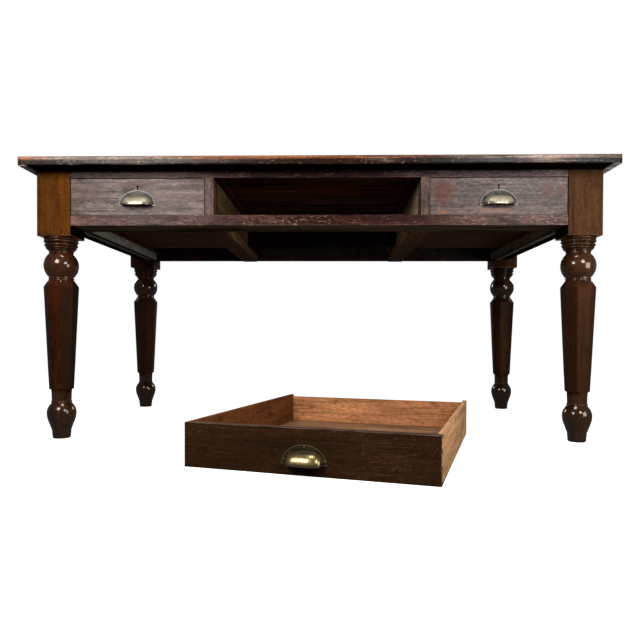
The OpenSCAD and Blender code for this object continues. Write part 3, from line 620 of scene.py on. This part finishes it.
    def relief(self):
        """Dents, flecks and raised grain, with sunk pores and scratches."""
        smooth = self.turned is not None
        dents = self.look["dents"]
        normal = self.bump(self.patterns["dents"], DENT_RELIEF, share=dents)
        normal = self.bump(self.patterns["fleck"], FLECK_RELIEF, normal, dents)
        line_relief = TURNED_LINE_RELIEF if smooth else LINE_RELIEF
        normal = self.bump(self.patterns["lines"], line_relief, normal)
        sunk = self.math("SUBTRACT", 1.0, self.math("MAXIMUM", self.pores, self.scratches))
        return self.bump(sunk, TURNED_PORE_RELIEF if smooth else PORE_RELIEF, normal)


def wood(name, tone, grain, seed, look, turn=0.0, zones=None, marks=(), faces=(), painted_lift=None):
    """Material of one wooden piece, of one tone or of zones along its grain.

    A zone is a place along the grain and the tone there. A mark is a patch: centre, radii, tone and
    share. A face tone is an axis, a sign, a tone, a share of the polish and, if it covers only part
    of the face, an axis with the two places where it begins and is full; face tones also carry painted
    shade on undersides and inner faces, and painted light under the top's ends. A painted lift is two
    heights and how dark or pale the wood is there: painted shade below, a painted highlight above.
    """
    shader = Wood(name, grain, seed, look, turn)
    colour = shader.plain_colour(shader.zone_tones(zones) if zones else tone, painted_lift)
    colour = shader.worn_colour(colour, marks)
    shine, rough, sheen = shader.polish()
    colour, shine = shader.own_faces(colour, shine, faces)
    # Painted shade in gaps and corners darkens the colour and the gloss
    gap_shade = shader.painted_gap_shade()
    shader.put_surface("Base Color", shader.scale(colour, gap_shade))
    shader.put_surface("Roughness", shader.added_roughness(rough))
    shader.put_surface("Specular IOR Level", shader.times(gap_shade, shine))
    shader.put_surface("Specular Tint", sheen)
    shader.put_surface("Normal", shader.relief())
    return shader.material


# Brass and iron

# Tones of the plate, its rim and the cup, and how metallic the cup is
SIDE_BRASS = dict(plate=(0.045, 0.042, 0.034), rim=(0.280, 0.265, 0.220), cup=(0.93, 0.80, 0.58),
                  metallic=0.56)
LOOSE_BRASS = dict(plate=(0.040, 0.027, 0.014), rim=(0.160, 0.115, 0.060), cup=(0.42, 0.30, 0.13),
                   metallic=0.85)
# Where a pull's parts begin and are full, in metres out from its back, or up from its lower edge
CUP_OUT = (0.0032, 0.0065)
RIM_BEGIN_OUT = (0.0017, 0.0021)
RIM_END_OUT = (0.0032, 0.0026)
LIP_UP = (0.0062, 0.0040)
# Painted shade on the cup towards its top and ends, leaving a painted highlight across its middle: two
# distances in metres, and the level at each
CUP_TOP_PAINTED_SHADE = (0.013, 0.029, 1.0, 0.26)
CUP_END_PAINTED_SHADE = (0.020, 0.040, 1.0, 0.40)
# Patina: its patterns, the levels between which it fades, and its darkest and palest shades
BRASS_SEED_STEPS = (1.0, 0.7, 0.0)
BRASS_CLOUD = dict(scale=(55, 55, 55), detail=4, rough=0.65)
BRASS_FINE = dict(scale=(420, 420, 420))
BRASS_SPOTS = dict(scale=(190, 190, 190))
BRASS_SPOT_FADE = (0.58, 0.68)
PLATE_CLOUD_FADE = (0.40, 0.62)
PLATE_DARK = 0.65
PLATE_PALE = 1.30
CUP_CLOUD_FADE = (0.36, 0.56)
CUP_DARK = 0.72
# Tones of the lip's painted shade and of the spots, and how strongly the rim and the lip show theirs
LIP_SHADE_TONE = (0.10, 0.075, 0.045)
BRASS_SPOT_TONE = (0.13, 0.09, 0.05)
RIM_SHARE = 0.80
LIP_SHADE_SHARE = 0.75
# What differs between the plate and the cup: the plate's value, then the cup's
BRASS_SPOT_SHARES = (0.60, 0.30)
BRASS_SPECULAR = (0.10, 0.50)
BRASS_ROUGH = (0.48, 0.34)
# How metallic the plate is, the roughness that the patina's clouds add, and the relief
PLATE_METALLIC = 0.25
BRASS_CLOUD_ROUGH = -0.14
BRASS_DENT_RELIEF = (0.0005, 0.35)
BRASS_FINE_RELIEF = (0.00008, 0.40)

# Iron and the rust that blooms on it
IRON_SEED_STEPS = (1.0, 0.0, 1.0)
RUST_BLOOM = dict(scale=(70, 70, 70), detail=4, rough=0.7)
IRON_TONE = (0.11, 0.10, 0.095)
RUST_TONE = (0.20, 0.11, 0.06)
IRON_LEVEL = 0.42
RUST_LEVEL = 0.58
IRON_METALLIC = 0.70
IRON_SPECULAR = 0.50
IRON_ROUGH = 0.30
RUST_ROUGH = 0.40
IRON_RELIEF = (0.0002, 0.50)


def pull_places(name, turn):
    """A brass piece's back, lower edge and middle, measured square to its drawer."""
    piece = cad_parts[name]
    square = Matrix.Rotation(-turn, 3, "Z")
    corners = [square @ (piece.matrix_world @ vertex.co) for vertex in piece.data.vertices]
    back = max(corner.y for corner in corners)
    low = min(corner.z for corner in corners)
    middle = sum(corner.x for corner in corners) / len(corners)
    return back, low, middle


def brass(name, seed, look, turn=0.0):
    """Aged brass: the plate dull under its patina, the cup rubbed bright, painted shade on its top, ends
    and lip.
    """
    shader = Shader(name)
    back, low, middle = pull_places(name, turn)
    square = shader.move(shader.object_place, turn=(0.0, 0.0, -turn))
    out = shader.math("SUBTRACT", back, shader.axis(square, "Y"))
    up = shader.math("SUBTRACT", shader.axis(square, "Z"), low)
    aside = shader.math("ABSOLUTE", shader.math("SUBTRACT", shader.axis(square, "X"), middle))
    place = shader.move(square, shift=[seed * seed_step for seed_step in BRASS_SEED_STEPS])
    cloud = shader.noise(place, **BRASS_CLOUD)
    fine = shader.noise(place, **BRASS_FINE)
    spots = shader.step(shader.noise(place, **BRASS_SPOTS), *BRASS_SPOT_FADE)
    cup = shader.step(out, *CUP_OUT)
    rim = shader.times(shader.step(out, *RIM_BEGIN_OUT), shader.step(out, *RIM_END_OUT))
    lip_shade = shader.times(shader.step(up, *LIP_UP), cup)

    patina = shader.step(cloud, *PLATE_CLOUD_FADE)
    plate = shader.mix(patina, shade(look["plate"], PLATE_DARK), shade(look["plate"], PLATE_PALE))
    plate = shader.mix(shader.times(rim, RIM_SHARE), plate, look["rim"])
    cup_tone_and_painted_light = shader.mix(shader.step(cloud, *CUP_CLOUD_FADE), shade(look["cup"], CUP_DARK), look["cup"])
    # Painted shade towards the cup's top and ends, which leaves a painted highlight across its middle
    cup_tone_and_painted_light = shader.scale(cup_tone_and_painted_light, shader.step(up, *CUP_TOP_PAINTED_SHADE))
    cup_tone_and_painted_light = shader.scale(cup_tone_and_painted_light, shader.step(aside, *CUP_END_PAINTED_SHADE))
    colour = shader.mix(cup, plate, cup_tone_and_painted_light)
    # Painted shade: the cup's lip painted dark
    colour = shader.mix(shader.times(lip_shade, LIP_SHADE_SHARE), colour, LIP_SHADE_TONE)
    spots = shader.times(spots, shader.between(cup, *BRASS_SPOT_SHARES))
    shader.put_surface("Base Color", shader.mix(spots, colour, BRASS_SPOT_TONE))

    rough = shader.math("MULTIPLY_ADD", cloud, BRASS_CLOUD_ROUGH, shader.between(cup, *BRASS_ROUGH))
    shader.put_surface("Roughness", rough)
    shader.put_surface("Metallic", shader.between(cup, PLATE_METALLIC, look["metallic"]))
    shader.put_surface("Specular IOR Level", shader.between(cup, *BRASS_SPECULAR))
    normal = shader.bump(cloud, BRASS_DENT_RELIEF)
    shader.put_surface("Normal", shader.bump(fine, BRASS_FINE_RELIEF, normal))
    return shader.material


def iron(name, seed, level=1.0):
    """Dull dark steel with brown rust blooms."""
    shader = Shader(name)
    shift = [seed * seed_step for seed_step in IRON_SEED_STEPS]
    bloom = shader.noise(shader.move(shader.object_place, shift=shift), **RUST_BLOOM)
    stops = [(IRON_LEVEL, shade(IRON_TONE, level)), (RUST_LEVEL, shade(RUST_TONE, level))]
    shader.put_surface("Base Color", shader.tones(bloom, stops))
    shader.put_surface("Metallic", IRON_METALLIC)
    shader.put_surface("Specular IOR Level", IRON_SPECULAR * level)
    shader.put_surface("Roughness", shader.math("MULTIPLY_ADD", bloom, RUST_ROUGH, IRON_ROUGH))
    shader.put_surface("Normal", shader.bump(bloom, IRON_RELIEF))
    return shader.material


# Tones in linear light, piece by piece
TONES = {
    "top_board_middle": (0.120, 0.058, 0.031),
    "top_board_back": (0.125, 0.061, 0.033),
    "muntin_left": (0.100, 0.052, 0.044),
    "muntin_right": (0.085, 0.050, 0.042),
    # The aprons' tones: painted shade, darker than their wood, for the inner faces; outer faces take
    # APRON_OUTER_TONE
    "side_apron_left": (0.030, 0.013, 0.007),
    "side_apron_right": (0.030, 0.013, 0.007),
    "back_apron": (0.020, 0.010, 0.006),
    # Side drawers' fronts: greyed polish with painted sheen of the lamps' reflections, brighter on the
    # left
    "left_drawer_front": (0.165, 0.112, 0.095),
    "right_drawer_front": (0.096, 0.068, 0.061),
    "middle_drawer_front": (0.038, 0.0155, 0.0055),
    "middle_drawer_side_l": (0.130, 0.042, 0.012),
    "middle_drawer_side_r": (0.520, 0.280, 0.135),
    "middle_drawer_back": (0.580, 0.255, 0.108),
    "middle_drawer_bottom": (0.380, 0.210, 0.110),
    "bearer": (0.130, 0.066, 0.032),
    "runner": (0.430, 0.410, 0.360),
    "partition_left": (0.150, 0.095, 0.040),
    # The right partition is bare pine, paler than the left one as painted light
    "partition_right": (0.340, 0.260, 0.140),
    "guide": (0.110, 0.060, 0.032),
    "kicker": (0.050, 0.016, 0.007),
    "outer_kicker": (0.060, 0.030, 0.016),
    "drawer_stops": (0.090, 0.050, 0.028),
    "glue_blocks": (0.050, 0.030, 0.018),
    "drawer_inside": (0.110, 0.031, 0.009),
}
# Tones along the front pieces, from left to right. The greyish tones on the left and right parts of the
# top's nose and of both rails are painted sheen, where the lamps' reflections fall; the dark middle of
# the upper rail is painted shade under the top.
TOP_FRONT_TONES_AND_SHEEN = [
    (-0.767, (0.080, 0.030, 0.014)), (-0.660, (0.086, 0.064, 0.054)), (-0.420, (0.088, 0.066, 0.056)),
    (-0.310, (0.090, 0.034, 0.013)), (0.000, (0.100, 0.030, 0.006)), (0.220, (0.080, 0.026, 0.009)),
    (0.340, (0.076, 0.054, 0.047)), (0.767, (0.064, 0.047, 0.041)),
]
UPPER_RAIL_TONES_SHEEN_AND_SHADE = [
    (-0.680, (0.080, 0.056, 0.050)), (-0.340, (0.085, 0.060, 0.054)), (-0.240, (0.020, 0.008, 0.006)),
    (0.160, (0.016, 0.007, 0.005)), (0.330, (0.070, 0.048, 0.044)), (0.680, (0.085, 0.062, 0.060)),
]
LOWER_RAIL_TONES_AND_SHEEN = [
    (-0.680, (0.080, 0.042, 0.036)), (-0.360, (0.080, 0.040, 0.032)), (-0.200, (0.044, 0.011, 0.005)),
    (0.280, (0.042, 0.010, 0.005)), (0.420, (0.075, 0.038, 0.032)), (0.680, (0.075, 0.044, 0.040)),
]
# The top's nose: painted shade up to the first height, and a painted highlight from the second
TOP_NOSE_PAINTED_LIGHT = (0.7248, 0.7322, 0.16, 3.50)
# The top's upper face, and its underside: painted near black in front as shade, red behind the rail,
# brown further back, and pale and glossy at both ends as painted light
RED_PART = ("Y", FRONT_Y + 0.02, FRONT_Y + 0.04)
BROWN_PART = ("Y", FRONT_Y + 0.15, FRONT_Y + 0.40)
LEFT_END_PART = ("X", -0.738, -0.750)
RIGHT_END_PART = ("X", 0.738, 0.750)
END_UNDERSIDE_PAINTED_LIGHT = (0.720, 0.670, 0.650)
TOP_FACES = [
    ("Z", 1.0, TONES["top_board_middle"], 1.0, None),
    ("Z", -1.0, (0.005, 0.003, 0.002), 0.0, None),
    ("Z", -1.0, (0.090, 0.026, 0.010), 0.0, RED_PART),
    ("Z", -1.0, (0.075, 0.045, 0.028), 0.0, BROWN_PART),
    ("Z", -1.0, END_UNDERSIDE_PAINTED_LIGHT, 4.0, RIGHT_END_PART),
    ("Z", -1.0, END_UNDERSIDE_PAINTED_LIGHT, 4.0, LEFT_END_PART),
]
# Other faces that differ from the rest of their piece
UNDER_RAIL = [("Z", -1.0, (0.060, 0.016, 0.006), 0.0, None)]
UNDER_LOW_RAIL = [("Z", -1.0, (0.150, 0.128, 0.090), 0.0, None)]
# Painted shade: the aprons' undersides, nearly black
SHADED_UNDERSIDE_TONE = (0.004, 0.003, 0.002)
APRON_OUTER_TONE = (0.085, 0.036, 0.019)
RUNNER_INNER_TONE = (0.060, 0.050, 0.036)
RUNNER_FADE = 0.003
LOOSE_FACES = [("Z", 1.0, (0.085, 0.042, 0.026), 0.5, None)]
# Painted shade on the legs' inner faces, away from the lamps: the shaft, and the block above it, nearly
# black
SHAFT_PART = ("Z", 0.53, 0.50)
BLOCK_PART = ("Z", 0.50, 0.53)
LEG_SHADE_FACES = {
    "leg_front_left": [("X", 1.0, (0.012, 0.006, 0.002), 0.5, SHAFT_PART),
                       ("X", 1.0, (0.005, 0.003, 0.002), 0.0, BLOCK_PART)],
    "leg_front_right": [("X", -1.0, (0.024, 0.009, 0.004), 0.5, SHAFT_PART),
                        ("X", -1.0, (0.005, 0.003, 0.002), 0.0, BLOCK_PART)],
}
# Patches on the side drawers: centre, radii, tone and share
LEFT_MARKS = [
    ((-0.470, DRAWER_Y, 0.679), (0.055, 0.030, 0.015), (0.070, 0.012, 0.007), 1.0),
    ((-0.600, DRAWER_Y, 0.660), (0.060, 0.030, 0.020), (0.120, 0.060, 0.046), 0.60),
    ((-0.380, DRAWER_Y, 0.612), (0.080, 0.030, 0.010), (0.060, 0.030, 0.024), 0.70),
]
RIGHT_MARKS = [
    ((0.332, DRAWER_Y, 0.655), (0.034, 0.030, 0.040), (0.110, 0.036, 0.020), 0.80),
    ((0.328, DRAWER_Y, 0.606), (0.024, 0.030, 0.006), (0.300, 0.120, 0.040), 0.80),
    ((0.468, DRAWER_Y, 0.608), (0.052, 0.030, 0.008), (0.280, 0.130, 0.095), 0.80),
    ((0.597, DRAWER_Y, 0.660), (0.016, 0.030, 0.024), (0.110, 0.036, 0.022), 0.80),
    ((0.631, DRAWER_Y, 0.660), (0.012, 0.030, 0.020), (0.120, 0.042, 0.026), 0.70),
]
# Tones of the legs by height above the floor: their own tone, with painted shade darker down the front
# shafts and on the back legs
LEG_TONES_AND_SHADE = {
    "leg_front_left": [(0.0, (0.028, 0.011, 0.004)), (0.13, (0.018, 0.005, 0.001)),
                       (0.28, (0.022, 0.004, 0.001)), (0.38, (0.048, 0.009, 0.001)),
                       (0.43, (0.050, 0.013, 0.003)), (0.53, (0.048, 0.017, 0.007)),
                       (0.55, (0.116, 0.034, 0.004)), (TOP_Z, (0.124, 0.040, 0.005))],
    "leg_front_right": [(0.0, (0.028, 0.011, 0.004)), (0.13, (0.026, 0.008, 0.002)),
                        (0.30, (0.029, 0.008, 0.002)), (0.40, (0.033, 0.009, 0.003)),
                        (0.47, (0.044, 0.015, 0.005)), (0.53, (0.042, 0.016, 0.007)),
                        (0.55, (0.064, 0.026, 0.011)), (TOP_Z, (0.060, 0.027, 0.012))],
    "leg_back_left": [(0.0, (0.026, 0.009, 0.003)), (0.45, (0.030, 0.009, 0.003)),
                      (TOP_Z, (0.050, 0.016, 0.005))],
    "leg_back_right": [(0.0, (0.016, 0.005, 0.001)), (0.45, (0.018, 0.005, 0.001)),
                       (TOP_Z, (0.040, 0.013, 0.004))],
}


# Finishing, group by group

# Seeds: each piece of a group adds its own place in the group
TOP_SEED = 11
LEG_SEED = 21
FRAME_SEED = 31
BARE_SEEDS = {"left": 50, "right": 41}
SMALL_SEED = 61
SCREW_SEED = 3
LEFT_SEED = 71
RIGHT_SEED = 81
LOOSE_SEED = 91
# Tones and gloss of the top's screws as a share of other iron's: dark aged iron, darkened further as
# painted shade, since they sit in the dark
SCREW_SHADE_LEVEL = 0.12
# Rounded arrises: their widths in metres, and what counts as one
FRAME_ARRIS = 0.0008
BARE_ARRIS = 0.0007
FRONT_ARRIS = 0.0009
INSIDE_ARRIS = 0.0005
ARRIS_SEGMENTS = 2
ARRIS_ANGLE = math.radians(40)
WELD_REACH = 0.00002


def paint(node, material):
    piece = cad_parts[node]
    if not piece.material_slots:
        piece.data.materials.append(material)
    for slot in piece.material_slots:
        slot.material = material


def soften(node, width):
    """Rounds a wooden piece's arrises with modifiers alone."""
    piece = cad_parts[node]
    weld = piece.modifiers.new("weld", "WELD")
    weld.merge_threshold = WELD_REACH
    bevel = piece.modifiers.new("arris", "BEVEL")
    bevel.width = width
    bevel.segments = ARRIS_SEGMENTS
    bevel.limit_method = "ANGLE"
    bevel.angle_limit = ARRIS_ANGLE
    bevel.use_clamp_overlap = True


def apron_faces(axis, sign):
    """An apron is polished on its outer face alone, and its underside is painted near black as shade."""
    return [("Z", -1.0, SHADED_UNDERSIDE_TONE, 0.0, None), (axis, sign, APRON_OUTER_TONE, 1.0, None)]


def runner_faces(node, side):
    """The inner half of a runner's underside is darker than the outer half."""
    low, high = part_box(node)
    middle = (low.x + high.x) / 2
    fade = -RUNNER_FADE if side == "left" else RUNNER_FADE
    return [("Z", -1.0, RUNNER_INNER_TONE, 0.0, ("X", middle + fade, middle - fade))]


def finish_top():
    boards = [
        # name, tones along the grain, painted lift
        ("top_board_front", TOP_FRONT_TONES_AND_SHEEN, TOP_NOSE_PAINTED_LIGHT),
        ("top_board_middle", None, None),
        ("top_board_back", None, None),
    ]
    for index, (node, zones, painted_lift) in enumerate(boards):
        paint(node, wood(node, TONES.get(node), "X", TOP_SEED + index, TOP_LOOK, zones=zones,
                         faces=TOP_FACES, painted_lift=painted_lift))


def finish_legs():
    for index, (node, zones) in enumerate(LEG_TONES_AND_SHADE.items()):
        faces = LEG_SHADE_FACES.get(node, ())
        paint(node, wood(node, None, "Z", LEG_SEED + index, LEG_LOOK, zones=zones, faces=faces))


def finish_frame():
    pieces = [
        # name, look, grain, tones along the grain, faces
        ("upper_front_rail", UPPER_RAIL_LOOK, "X", UPPER_RAIL_TONES_SHEEN_AND_SHADE, UNDER_RAIL),
        ("lower_front_rail", RAIL_LOOK, "X", LOWER_RAIL_TONES_AND_SHEEN, UNDER_LOW_RAIL),
        ("muntin_left", RAIL_LOOK, "Z", None, ()),
        ("muntin_right", RAIL_LOOK, "Z", None, ()),
        ("side_apron_left", APRON_LOOK, "Y", None, apron_faces("X", -1.0)),
        ("side_apron_right", APRON_LOOK, "Y", None, apron_faces("X", 1.0)),
        ("back_apron", APRON_LOOK, "X", None, apron_faces("Y", 1.0)),
    ]
    for index, (node, look, grain, zones, faces) in enumerate(pieces):
        tone = TONES.get(node)
        paint(node, wood(node, tone, grain, FRAME_SEED + index, look, zones=zones, faces=faces))
        soften(node, FRAME_ARRIS)


def finish_bare_wood():
    for index, part in enumerate(("bearer", "runner", "partition", "guide", "kicker", "outer_kicker")):
        for side in ("left", "right"):
            node = part + "_" + side
            tone = TONES.get(node) or TONES[part]
            faces = runner_faces(node, side) if part == "runner" else ()
            paint(node, wood(node, tone, "Y", BARE_SEEDS[side] + index, BARE_LOOK, faces=faces))
            soften(node, BARE_ARRIS)
    for index, node in enumerate(("drawer_stops", "glue_blocks")):
        paint(node, wood(node, TONES[node], "X", SMALL_SEED + index, BARE_LOOK))
        soften(node, BARE_ARRIS)


def finish_drawer(name, look, brass_look, seed, locked=False, turn=0.0, marks=(), faces=()):
    front = name + "_drawer_front"
    paint(front, wood(front, TONES[front], "X", seed, look, turn=turn, marks=marks, faces=faces))
    soften(front, FRONT_ARRIS)
    grains = {"side_l": "Y", "side_r": "Y", "back": "X", "bottom": "X"}
    for index, (part, grain) in enumerate(grains.items()):
        node = name + "_drawer_" + part
        tone = TONES.get(node, TONES["drawer_inside"])
        paint(node, wood(node, tone, grain, seed + 1 + index, INSIDE_LOOK, turn=turn))
        soften(node, INSIDE_ARRIS)
    for index, node in enumerate((name + "_pull", name + "_pull_screws")):
        paint(node, brass(node, seed + index, brass_look, turn))
    if locked:
        paint(name + "_lock", iron(name + "_lock", seed))
        paint(name + "_lock_screws", iron(name + "_lock_screws", seed + 1))
        paint(name + "_lock_bolt", brass(name + "_lock_bolt", seed + 2, brass_look))


make_camera()
make_world()
make_floor()
make_lamps()
finish_top()
finish_legs()
finish_frame()
finish_bare_wood()
paint("top_screws", iron("top_screws", SCREW_SEED, SCREW_SHADE_LEVEL))
finish_drawer("left", FRONT_LOOK, SIDE_BRASS, LEFT_SEED, locked=True, marks=LEFT_MARKS)
finish_drawer("right", FRONT_LOOK, SIDE_BRASS, RIGHT_SEED, locked=True, marks=RIGHT_MARKS)
finish_drawer("middle", LOOSE_LOOK, LOOSE_BRASS, LOOSE_SEED, turn=LOOSE_TURN, faces=LOOSE_FACES)

bpy.context.scene.view_settings.view_transform = "Standard"
